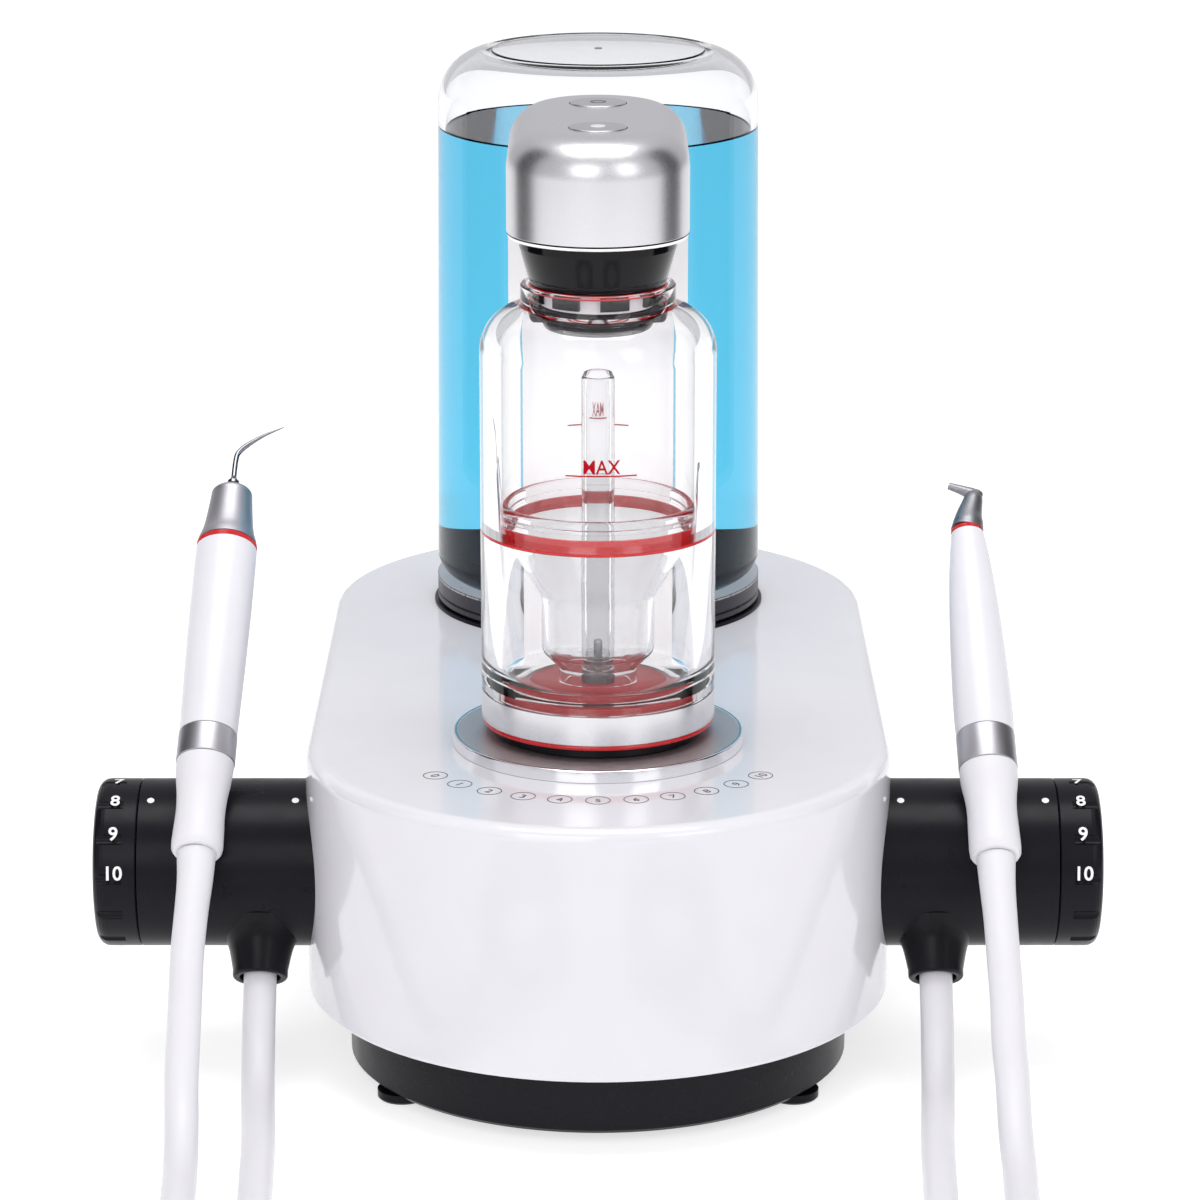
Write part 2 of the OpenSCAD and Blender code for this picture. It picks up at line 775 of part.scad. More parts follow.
base_plinth();
rubber_feet();
chassis_plate();
main_housing();
housing_screws();
touch_board();
dock_ring();
magnets();
column();
bottle_seat();
left_arm();
right_arm();
left_valve();
right_valve();
left_gland();
right_gland();
power_supply();
drive_board();
water_pump();
air_regulator();
inner_tubing();
air_inlet();
water_inlet();
power_inlet();
left_gland_hose();
left_hose_coil();
left_tool_hose();
right_gland_hose();
right_hose_coil();
right_tool_hose();
left_knob();
left_spindle();
right_knob();
right_spindle();
scaler_tip();
scaler_nose();
scaler_red_ring();
scaler_grip();
scaler_metal_ring();
scaler_boot();
piezo_stack();
polisher_nozzle();
polisher_red_ring();
polisher_grip();
polisher_metal_ring();
polisher_boot();
head_shell();
head_base();
head_post();
lid_collar();
lid_seal();
front_button();
rear_button();
chamber_foot();
chamber_lower();
chamber_upper();
powder_funnel();
bottle();
bottle_water();
bottle_cap();
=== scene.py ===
# Table-top dental prophylaxis unit: the looks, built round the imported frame. Lengths in the helpers are
# millimetres; the front of the unit faces -Y and the table is z = 0.
import math

import bmesh
import bpy
from mathutils import Matrix, Vector


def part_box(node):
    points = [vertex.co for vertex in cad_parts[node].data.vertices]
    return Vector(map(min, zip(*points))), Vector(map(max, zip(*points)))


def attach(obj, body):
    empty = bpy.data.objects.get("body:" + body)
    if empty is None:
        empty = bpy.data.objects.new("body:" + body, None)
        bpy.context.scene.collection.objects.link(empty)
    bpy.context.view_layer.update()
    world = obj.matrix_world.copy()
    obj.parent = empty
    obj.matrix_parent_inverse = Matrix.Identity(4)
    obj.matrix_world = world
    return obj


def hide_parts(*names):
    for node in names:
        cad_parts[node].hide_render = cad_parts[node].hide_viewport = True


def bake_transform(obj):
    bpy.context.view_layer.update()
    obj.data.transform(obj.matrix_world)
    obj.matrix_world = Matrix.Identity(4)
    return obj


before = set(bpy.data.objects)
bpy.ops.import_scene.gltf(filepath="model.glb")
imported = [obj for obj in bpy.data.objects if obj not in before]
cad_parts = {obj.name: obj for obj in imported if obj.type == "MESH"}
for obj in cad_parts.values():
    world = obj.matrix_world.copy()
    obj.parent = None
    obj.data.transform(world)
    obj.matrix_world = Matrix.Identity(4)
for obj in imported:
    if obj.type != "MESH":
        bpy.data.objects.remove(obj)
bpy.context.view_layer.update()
MM = 0.001


def span(node):
    """Lowest and highest corner of a CAD node in millimetres."""
    low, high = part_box(node)
    return low / MM, high / MM


# ---- driving sizes, from the frame ----

HOUSING_LOW, HOUSING_HIGH = span("main_housing")
BODY_R = HOUSING_HIGH.x
BODY_TOP = HOUSING_HIGH.z
BODY_Z = HOUSING_LOW.z
CHAMBER_LOW, CHAMBER_HIGH = span("chamber_lower")
CHAMBER_Y = (CHAMBER_LOW.y + CHAMBER_HIGH.y) / 2
CHAMBER_R = CHAMBER_HIGH.x
BOTTLE_LOW, BOTTLE_HIGH = span("bottle")
BOTTLE_Y = (BOTTLE_LOW.y + BOTTLE_HIGH.y) / 2
BOTTLE_R = BOTTLE_HIGH.x
ARM_LOW, ARM_HIGH = span("right_arm")
ARM_Z = (ARM_LOW.z + ARM_HIGH.z) / 2
ARM_R = (ARM_HIGH.z - ARM_LOW.z) / 2
ARM_END = ARM_HIGH.x
KNOB_END = span("right_knob")[1].x
HEAD_Z = span("head_base")[0].z
HEAD_TOP = span("head_shell")[1].z
HEAD_R = span("head_shell")[1].x
COLUMN_Y = span("head_shell")[1].y - HEAD_R
LEAN = math.radians(49)
SCALER_SEAT = Vector((-102, -97, 63.5))
POLISHER_SEAT = Vector((101, -98, 62.7))
SCALER_TILT = math.radians(2.1)
POLISHER_TILT = math.radians(-1.6)

# ---- mesh helpers ----

SHARP = math.radians(32)  # an edge bent more than this is drawn sharp
TUBE_SHARP = math.radians(60)


def rounded(points, turn=9):
    """Closed outline in which a corner (x, y, r) becomes an arc of radius r, a step every few degrees."""
    out = []
    for i, corner in enumerate(points):
        at = Vector(corner[:2])
        if len(corner) == 2:
            out.append(at)
            continue
        back = (Vector(points[i - 1][:2]) - at).normalized()
        on = (Vector(points[(i + 1) % len(points)][:2]) - at).normalized()
        half = back.angle(on) / 2
        middle = at + (back + on).normalized() * corner[2] / math.sin(half)
        start = at + back * corner[2] / math.tan(half) - middle
        sweep = math.pi - 2 * half
        if start.x * on.y - start.y * on.x < 0:
            sweep = -sweep
        steps = max(2, math.ceil(abs(math.degrees(sweep)) / turn))
        for k in range(steps + 1):
            a = sweep * k / steps
            out.append(middle + Vector((start.x * math.cos(a) - start.y * math.sin(a),
                                        start.x * math.sin(a) + start.y * math.cos(a))))
    return out


def finish_mesh(name, bm, body, material, place=None):
    """Turns a bmesh in millimetres into a piece on a body."""
    bmesh.ops.remove_doubles(bm, verts=bm.verts, dist=1e-4)
    bmesh.ops.dissolve_degenerate(bm, edges=bm.edges, dist=1e-5)
    bmesh.ops.recalc_face_normals(bm, faces=bm.faces)
    bm.transform(Matrix.Scale(MM, 4))
    mesh = bpy.data.meshes.new(name)
    bm.to_mesh(mesh)
    bm.free()
    mesh.shade_smooth()
    mesh.set_sharp_from_angle(angle=SHARP)
    piece = bpy.data.objects.new(name, mesh)
    bpy.context.scene.collection.objects.link(piece)
    piece.data.materials.append(material)
    if place is not None:
        piece.matrix_world = place
    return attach(piece, body)


def swept_outline(bm, outline, ring):
    """Faces of an outline of (radius, height) carried round a ring of (centre, direction)."""
    rows = [[bm.verts.new((c[0] + p[0] * d[0], c[1] + p[0] * d[1], p[1])) for c, d in ring] for p in outline]
    count = len(ring)
    for i, a in enumerate(rows):
        b = rows[(i + 1) % len(rows)]
        if outline[i][0] < 1e-6 and outline[(i + 1) % len(rows)][0] < 1e-6:
            continue
        for k in range(count):
            j = (k + 1) % count
            bm.faces.new((a[k], a[j], b[j], b[k]))


def circle(steps=96):
    return [((0, 0), (math.cos(math.tau * k / steps), math.sin(math.tau * k / steps))) for k in range(steps)]


def stadium(y0, y1, steps=48):
    """A ring with round ends about y0 and y1."""
    ring = []
    for middle, start in ((y1, 0), (y0, math.pi)):
        for k in range(steps + 1):
            a = start + math.pi * k / steps
            ring.append(((0, middle), (math.cos(a), math.sin(a))))
    return ring


def lathe(name, outline, body, material, place=None, steps=96):
    """Solid of revolution about Z from a closed outline of (radius, height)."""
    bm = bmesh.new()
    swept_outline(bm, outline, circle(steps))
    return finish_mesh(name, bm, body, material, place)


def pill(name, outline, y0, y1, body, material):
    """A solid with round ends about y0 and y1 from a closed outline of (radius, height)."""
    bm = bmesh.new()
    swept_outline(bm, outline, stadium(y0, y1))
    return finish_mesh(name, bm, body, material)


def at(x, y, z=0.0):
    """A place in millimetres as a matrix in metres."""
    return Matrix.Translation(Vector((x, y, z)) * MM)


def seat_frame(seat, tilt):
    """Frame of a handpiece on its rest: +Z along it from its lower face."""
    return Matrix.Translation(seat * MM) @ Matrix.Rotation(-LEAN, 4, "X") @ Matrix.Rotation(tilt, 4, "Y")


ON_CHAMBER = at(0, CHAMBER_Y)
ON_BOTTLE = at(0, BOTTLE_Y)
SCALER_FRAME = seat_frame(SCALER_SEAT, SCALER_TILT)
POLISHER_FRAME = seat_frame(POLISHER_SEAT, POLISHER_TILT)

# ---- materials ----

COAT_ROUGHNESS = 0.04
NOISE_LOW, NOISE_HIGH = 0.3, 0.7  # nearly all of a noise's values lie between these


def new_material(name):
    material = bpy.data.materials.new(name)
    material.use_nodes = True
    tree = material.node_tree
    shader = tree.nodes["Principled BSDF"]
    return material, tree, shader


def noise(tree, scale, detail=3.0, stretch=None):
    """Noise in the object's own coordinates, in features per metre."""
    coordinates = tree.nodes.new("ShaderNodeTexCoord")
    source = coordinates.outputs["Object"]
    if stretch:
        mapping = tree.nodes.new("ShaderNodeMapping")
        mapping.inputs["Scale"].default_value = stretch
        tree.links.new(source, mapping.inputs["Vector"])
        source = mapping.outputs["Vector"]
    texture = tree.nodes.new("ShaderNodeTexNoise")
    texture.inputs["Scale"].default_value = scale
    texture.inputs["Detail"].default_value = detail
    tree.links.new(source, texture.inputs["Vector"])
    return texture.outputs["Fac"]


def vary(tree, source, low, high, target):
    mapped = tree.nodes.new("ShaderNodeMapRange")
    mapped.inputs["From Min"].default_value = NOISE_LOW
    mapped.inputs["From Max"].default_value = NOISE_HIGH
    mapped.inputs["To Min"].default_value = low
    mapped.inputs["To Max"].default_value = high
    tree.links.new(source, mapped.inputs["Value"])
    tree.links.new(mapped.outputs["Result"], target)


def shade_between(tree, source, dark, light, target):
    mix = tree.nodes.new("ShaderNodeMix")
    mix.data_type = "RGBA"
    mix.inputs["A"].default_value = (*dark, 1)
    mix.inputs["B"].default_value = (*light, 1)
    tree.links.new(source, mix.inputs["Factor"])
    tree.links.new(mix.outputs["Result"], target)


def bumped(tree, shader, source, strength, depth):
    bump = tree.nodes.new("ShaderNodeBump")
    bump.inputs["Strength"].default_value = strength
    bump.inputs["Distance"].default_value = depth
    tree.links.new(source, bump.inputs["Height"])
    tree.links.new(bump.outputs["Normal"], shader.inputs["Normal"])


def tinted(colour, share):
    return tuple(min(1.0, c * share) for c in colour)


def plastic(name, colour, rough, coat=0.0, specular=0.5, grain=2500, depth=2e-5, soft=0.0, glow=0.0,
            glow_colour=(1, 1, 1)):
    """Moulded plastic or rubber with a faint grain and uneven gloss; glow lifts it a little out of shade."""
    material, tree, shader = new_material(name)
    shade_between(tree, noise(tree, 60), tinted(colour, 0.965), tinted(colour, 1.02),
                  shader.inputs["Base Color"])
    vary(tree, noise(tree, 180, 5), rough * 0.88, rough * 1.15, shader.inputs["Roughness"])
    bumped(tree, shader, noise(tree, grain, 2), 0.35, depth)
    shader.inputs["Specular IOR Level"].default_value = specular
    shader.inputs["Coat Weight"].default_value = coat
    shader.inputs["Coat Roughness"].default_value = COAT_ROUGHNESS
    shader.inputs["Emission Color"].default_value = (*glow_colour, 1)
    shader.inputs["Emission Strength"].default_value = glow
    if soft:
        shader.inputs["Subsurface Weight"].default_value = soft
        shader.inputs["Subsurface Radius"].default_value = (0.002, 0.0018, 0.0016)
        shader.inputs["Subsurface Scale"].default_value = 1.0
    return material


def metal(name, colour, rough, stretch=(1, 1, 1), scale=900, depth=1.5e-5, vary_by=0.2):
    """Bare metal; stretch draws the grain out along one axis."""
    material, tree, shader = new_material(name)
    grain = noise(tree, scale, 4, stretch)
    shade_between(tree, grain, tinted(colour, 0.93), tinted(colour, 1.05), shader.inputs["Base Color"])
    vary(tree, grain, rough * (1 - vary_by), rough * (1 + vary_by), shader.inputs["Roughness"])
    bumped(tree, shader, grain, 0.3, depth)
    shader.inputs["Metallic"].default_value = 1.0
    return material


def clear(name, tint, ior=1.47, rough=0.0):
    """Clear moulded plastic with the faintest flow marks."""
    material, tree, shader = new_material(name)
    shade_between(tree, noise(tree, 40), tinted(tint, 0.985), tint, shader.inputs["Base Color"])
    vary(tree, noise(tree, 120, 4), rough, rough + 0.012, shader.inputs["Roughness"])
    shader.inputs["Transmission Weight"].default_value = 1.0
    shader.inputs["IOR"].default_value = ior
    return material


WHITE = plastic("white gloss", (0.78, 0.77, 0.805), 0.12, coat=0.3)
# The column glows a little: painted light that lifts it out of the shade it gets behind the clear chamber.
COLUMN_WHITE_PAINTED_LIGHT = plastic("white column with painted light", (0.9, 0.895, 0.91), 0.25, specular=0.3, glow=0.45,
                       glow_colour=(1, 0.99, 1))
WHITE_SATIN = plastic("white satin", (0.78, 0.765, 0.805), 0.32, grain=1800)
SILICONE = plastic("white silicone", (0.78, 0.77, 0.80), 0.42, grain=1400, depth=4e-5, soft=0.15)
BLACK = plastic("black satin", (0.0065, 0.006, 0.009), 0.3, specular=0.14, grain=2200, depth=3e-5)
BLACK_GLOSS = plastic("black gloss", (0.003, 0.003, 0.0045), 0.12, specular=0.22)
BLACK_PLINTH = plastic("black plinth", (0.006, 0.006, 0.009), 0.28, specular=0.16, grain=1500, depth=4e-5)
BLACK_RUBBER = plastic("black rubber", (0.005, 0.0048, 0.007), 0.3, specular=0.16, grain=900, depth=5e-5)
CAP_GREY = plastic("cap grey", (0.035, 0.034, 0.042), 0.3, specular=0.4, grain=1500)
LIGHT_GREY = plastic("light grey", (0.4, 0.4, 0.43), 0.3)
NAVY = plastic("navy", (0.0, 0.004, 0.01), 0.6, specular=0.0)
RED = plastic("red gloss", (0.62, 0.006, 0.010), 0.25, coat=0.2)
RED_SATIN = plastic("red satin", (0.36, 0.004, 0.008), 0.38, specular=0.3)
PRINT_RED = plastic("red print", (0.45, 0.0, 0.008), 0.5, specular=0.1)
PRINT_WHITE = plastic("white print", (0.9, 0.9, 0.9), 0.5)
PRINT_GREY = plastic("grey print", (0.06, 0.06, 0.07), 0.5)
SILVER = metal("satin silver", (0.72, 0.715, 0.735), 0.33, scale=3800, depth=1e-5)
BUTTON = metal("satin button", (0.6, 0.6, 0.62), 0.36, scale=3800, depth=1e-5)
TURNED = metal("turned silver", (0.5, 0.49, 0.52), 0.4, stretch=(1, 1, 3), scale=3000, depth=6e-6,
               vary_by=0.08)
DOCK = metal("satin dock", (0.56, 0.555, 0.57), 0.52, scale=2600)
BAND = metal("satin band", (0.72, 0.72, 0.74), 0.26, stretch=(1, 1, 3), scale=2600, depth=6e-6, vary_by=0.08)
NOSE = metal("satin nose", (0.5, 0.49, 0.52), 0.46, scale=3000, depth=1e-5)
POLISHED = metal("polished silver", (0.85, 0.85, 0.87), 0.14, scale=1400)
STEEL = metal("instrument steel", (0.5, 0.5, 0.52), 0.2, stretch=(1, 1, 0.1))
TIP_STEEL = metal("tip steel", (0.26, 0.26, 0.28), 0.16, stretch=(1, 1, 0.1))
NOZZLE = metal("blasted metal", (0.32, 0.32, 0.34), 0.42, scale=3200, depth=3e-5)
BRASS = metal("brass", (0.72, 0.52, 0.22), 0.28)
PLATED = metal("plated steel", (0.6, 0.61, 0.63), 0.35)
BOARD = plastic("circuit board", (0.02, 0.16, 0.07), 0.4)
BLUE_TUBE = plastic("blue tube", (0.16, 0.42, 0.75), 0.3)
BLUE = plastic("blue plastic", (0.05, 0.2, 0.6), 0.35)
DARK_GREY = plastic("dark grey plastic", (0.05, 0.052, 0.06), 0.4)
CERAMIC = plastic("ceramic", (0.55, 0.45, 0.25), 0.5)
CLEAR = clear("clear wall", (0.99, 0.99, 0.995), ior=1.4)
BOTTLE_CLEAR = clear("bottle wall", (0.985, 0.99, 1.0), ior=1.18)
WATER = clear("blue water", (0.11, 0.53, 0.755), ior=1.25)

NODE_MATERIALS = {
    "base_plinth": BLACK_PLINTH, "rubber_feet": BLACK_RUBBER, "chassis_plate": PLATED,
    "main_housing": WHITE, "housing_screws": PLATED, "touch_board": BOARD, "dock_ring": DOCK,
    "magnets": PLATED, "column": COLUMN_WHITE_PAINTED_LIGHT, "bottle_seat": BLACK, "left_arm": BLACK, "right_arm": BLACK,
    "left_valve": BRASS, "right_valve": BRASS, "left_gland": BLACK_RUBBER, "right_gland": BLACK_RUBBER,
    "power_supply": PLATED, "drive_board": BOARD, "water_pump": DARK_GREY, "air_regulator": BRASS,
    "inner_tubing": BLUE_TUBE, "air_inlet": PLATED, "water_inlet": BLUE, "power_inlet": BLACK,
    "left_knob": BLACK, "right_knob": BLACK, "left_spindle": STEEL, "right_spindle": STEEL,
    "scaler_tip": STEEL, "scaler_nose": NOSE, "scaler_red_ring": RED, "scaler_grip": WHITE_SATIN,
    "scaler_metal_ring": TURNED, "scaler_boot": SILICONE, "piezo_stack": CERAMIC,
    "polisher_nozzle": NOZZLE, "polisher_red_ring": RED, "polisher_grip": WHITE_SATIN,
    "polisher_metal_ring": TURNED, "polisher_boot": SILICONE, "head_shell": SILVER, "head_base": POLISHED,
    "head_post": STEEL, "lid_collar": BLACK_GLOSS, "lid_seal": RED, "front_button": SILVER,
    "rear_button": SILVER, "chamber_foot": RED, "chamber_lower": CLEAR, "chamber_upper": CLEAR,
    "powder_funnel": CLEAR, "bottle": BOTTLE_CLEAR, "bottle_water": WATER, "bottle_cap": CAP_GREY,
}
for node, material in NODE_MATERIALS.items():
    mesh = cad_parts[node].data
    mesh.materials.clear()
    mesh.materials.append(material)

# ---- camera ----

CAMERA_PLACE = (0.0005, -1.1975, 0.4305)
LOOKS_DOWN = math.radians(15.26)
SENSOR_MM = 36
LENS_MM = 136.83
camera = bpy.data.objects.new("camera", bpy.data.cameras.new("camera"))
bpy.context.scene.collection.objects.link(camera)
camera.location = CAMERA_PLACE
camera.rotation_euler = (math.radians(90) - LOOKS_DOWN, 0, 0)
camera.data.sensor_width = SENSOR_MM
camera.data.lens = LENS_MM
bpy.context.scene.camera = camera

# ---- hoses ----

HOSE_D = 8.5
FLARE = 0.75
FLARE_LENGTH = 22
HOSE_STEP = 3
COIL_X = 92
COIL_Y = -283
LEFT_GLAND_ROUTE = [
    (-87, -88.2, 29.8), (-87, -93, 23.6), (-87, -97.5, 18), (-86.8, -103, 12.3), (-86.5, -110, 7.9),
    (-86, -117.7, 5.2), (-85.4, -126, 4.25), (-84, -145, 4.25), (-83, -165, 4.25), (-82, -185, 4.25),
    (-81, -199, 4.25), (-77, -211, 4.25), (-70, -223, 4.25), (-59, -235, 4.25), (-48, -247, 4.25),
    (-41, -259, 4.25), (-37, -271, 4.25)]
LEFT_TOOL_ROUTE = [
    (-147, -271, 12.1), (-143, -259, 10.3), (-136, -247, 8), (-125, -235, 5.8), (-114, -223, 4.6),
    (-106, -211, 4.25), (-101.5, -199, 4.25), (-100.5, -187, 4.25), (-101, -175, 4.3), (-101.5, -165, 5.1),
    (-102, -156, 8.1), (-102.5, -148, 12.9), (-103, -141, 19), (-103, -134, 26.4), (-103, -126, 35.3),
    (-103, -118, 43.9), (-102.5, -110, 51.9), (-102, -103, 58.3), (-102, -97.2, 63.3)]
RIGHT_TOOL_ROUTE = [
    (147, -271, 12.1), (143, -259, 10.3), (136, -247, 8), (125, -235, 5.8), (114, -223, 4.6),
    (106.5, -211, 4.25), (102.5, -199, 4.25), (101.5, -187, 4.25), (102, -175, 4.3), (102.5, -165, 5.1),
    (102.5, -156, 8.1), (102.5, -148, 12.9), (102.5, -141, 19), (102, -134, 26.4), (102, -127, 34.3),
    (101.6, -119, 43.2), (101.3, -111, 51.1), (101, -104, 57.5), (101, -98.2, 62.5)]
# Where the coil's layer and turn change: (turns from the start, radius, height)
COIL_STEPS = [(0, 56, 4.25), (0.389, 56, 4.25), (0.722, 47.5, 4.25), (1.389, 47.5, 4.25), (1.722, 39, 4.25),
              (2.722, 39, 4.25), (3.0, 39, 12.75), (3.389, 39, 12.75), (3.722, 47.5, 12.75),
              (4.389, 47.5, 12.75), (4.722, 56, 12.75), (5.5, 56, 12.75)]


def coil_point(turn, side):
    """A point of the coil; side is -1 for the left coil and 1 for the right one."""
    for (t0, r0, z0), (t1, r1, z1) in zip(COIL_STEPS, COIL_STEPS[1:]):
        if turn <= t1 + 1e-9:
            share = (turn - t0) / (t1 - t0)
            share = share * share * (3 - 2 * share)
            radius = r0 + (r1 - r0) * share
            angle = math.tau * turn
            return (side * (COIL_X - radius * math.cos(angle)), COIL_Y - radius * math.sin(angle),
                    z0 + (z1 - z0) * share)


def coil(side, points_per_turn=36):
    count = round(COIL_STEPS[-1][0] * points_per_turn)
    return [coil_point(k / points_per_turn, side) for k in range(count + 1)]


def smooth_route(points, step):
    """Points every few millimetres on a centripetal curve through the route."""
    knots = [Vector(p) for p in points]
    knots = [2 * knots[0] - knots[1], *knots, 2 * knots[-1] - knots[-2]]
    out = []
    for a, b, c, d in zip(knots, knots[1:], knots[2:], knots[3:]):
        ta = math.sqrt((b - a).length)
        tb = math.sqrt((c - b).length)
        tc = math.sqrt((d - c).length)
        m0 = tb * ((b - a) / ta - (c - a) / (ta + tb)) + (c - b)
        m1 = tb * ((d - c) / tc - (d - b) / (tb + tc)) + (c - b)
        steps = max(1, round((c - b).length / step))
        for k in range(steps):
            t = k / steps
            out.append((2 * t**3 - 3 * t**2 + 1) * b + (t**3 - 2 * t**2 + t) * m0
                       + (3 * t**2 - 2 * t**3) * c + (t**3 - t**2) * m1)
    return [*out, knots[-2]]


def tube(name, path, radius, material, sides=20, place=None):
    """A closed tube along a path, on no body yet; radius is a function of the length left to its end."""
    left = [0.0]
    for a, b in zip(reversed(path[:-1]), reversed(path[1:])):
        left.append(left[-1] + (b - a).length)
    left.reverse()
    bm = bmesh.new()
    rows = []
    side = Vector((1, 0, 0))
    for i, p in enumerate(path):
        along = (path[min(i + 1, len(path) - 1)] - path[max(i - 1, 0)]).normalized()
        side = (side - along * side.dot(along)).normalized()
        up = along.cross(side)
        r = radius(left[i])
        rows.append([bm.verts.new(p + r * (math.cos(math.tau * k / sides) * side
                                           + math.sin(math.tau * k / sides) * up)) for k in range(sides)])
    for a, b in zip(rows, rows[1:]):
        for k in range(sides):
            bm.faces.new((a[k], a[(k + 1) % sides], b[(k + 1) % sides], b[k]))
    bm.faces.new(rows[0])
    bm.faces.new(list(reversed(rows[-1])))
    bmesh.ops.recalc_face_normals(bm, faces=bm.faces)
    bm.transform(Matrix.Scale(MM, 4))
    mesh = bpy.data.meshes.new(name)
    bm.to_mesh(mesh)
    bm.free()
    mesh.shade_smooth()
    mesh.set_sharp_from_angle(angle=TUBE_SHARP)
    mesh.materials.append(material)
    piece = bpy.data.objects.new(name, mesh)
    bpy.context.scene.collection.objects.link(piece)
    if place is not None:
        piece.matrix_world = place
    return piece


def hose_radius(left):
    """The hose flares a little where it enters the handpiece."""
    share = max(0.0, 1 - left / FLARE_LENGTH)
    return HOSE_D / 2 + FLARE * share * share


def hose(name, side, tool_route, nodes):
    gland_route = [(-side * x, y, z) for x, y, z in LEFT_GLAND_ROUTE]
    path = smooth_route([*gland_route, *coil(side), *tool_route], HOSE_STEP)
    piece = tube(name, path, hose_radius, SILICONE)
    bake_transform(piece)
    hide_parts(*nodes)
    metres = [p * MM for p in path]
    length = sum((b - a).length for a, b in zip(metres, metres[1:]))
    tuple(metres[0])
    [tuple(p) for p in metres]


hose("left_hose", -1, LEFT_TOOL_ROUTE,
     ["left_gland_hose", "left_hose_coil", "left_tool_hose"])
hose("right_hose", 1, RIGHT_TOOL_ROUTE,
     ["right_gland_hose", "right_hose_coil", "right_tool_hose"])

# ---- powder chamber ----

FINE = 128  # sides of the large round shapes


def bow(x, y, r, start, end, steps=14):
    """Points on an arc about (x, y), angles in degrees."""
    return [(x + r * math.cos(math.radians(start + (end - start) * k / steps)),
             y + r * math.sin(math.radians(start + (end - start) * k / steps))) for k in range(steps + 1)]


def smooth_outline(points, step=1.0):
    """A smooth curve through (radius, height) points."""
    return [(p.x, p.z) for p in smooth_route([(x, 0, z) for x, z in points], step)]


def sector(name, outline, angles, body, material, place, steps=8):
    """Pieces of a ring, one for each (middle, width) in degrees."""
    bm = bmesh.new()
    for middle, width in angles:
        ring = []
        for k in range(steps + 1):
            a = math.radians(middle + width * (k / steps - 0.5))
            ring.append(((0, 0), (math.cos(a), math.sin(a))))
        rows = [[bm.verts.new((p[0] * d[0], p[0] * d[1], p[1])) for _, d in ring] for p in outline]
        for i, a in enumerate(rows):
            b = rows[(i + 1) % len(rows)]
            for k in range(steps):
                bm.faces.new((a[k], a[k + 1], b[k + 1], b[k]))
        bm.faces.new([row[0] for row in rows])
        bm.faces.new([row[-1] for row in reversed(rows)])
    return finish_mesh(name, bm, body, material, place)


def between(value, pairs):
    """A value read off a list of (place, value) pairs."""
    for (a, low), (b, high) in zip(pairs, pairs[1:]):
        if value <= b:
            return low + (high - low) * max(0.0, value - a) / (b - a)
    return pairs[-1][1]


def stand_for(piece, slot, *nodes):
    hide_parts(*nodes)
    return piece


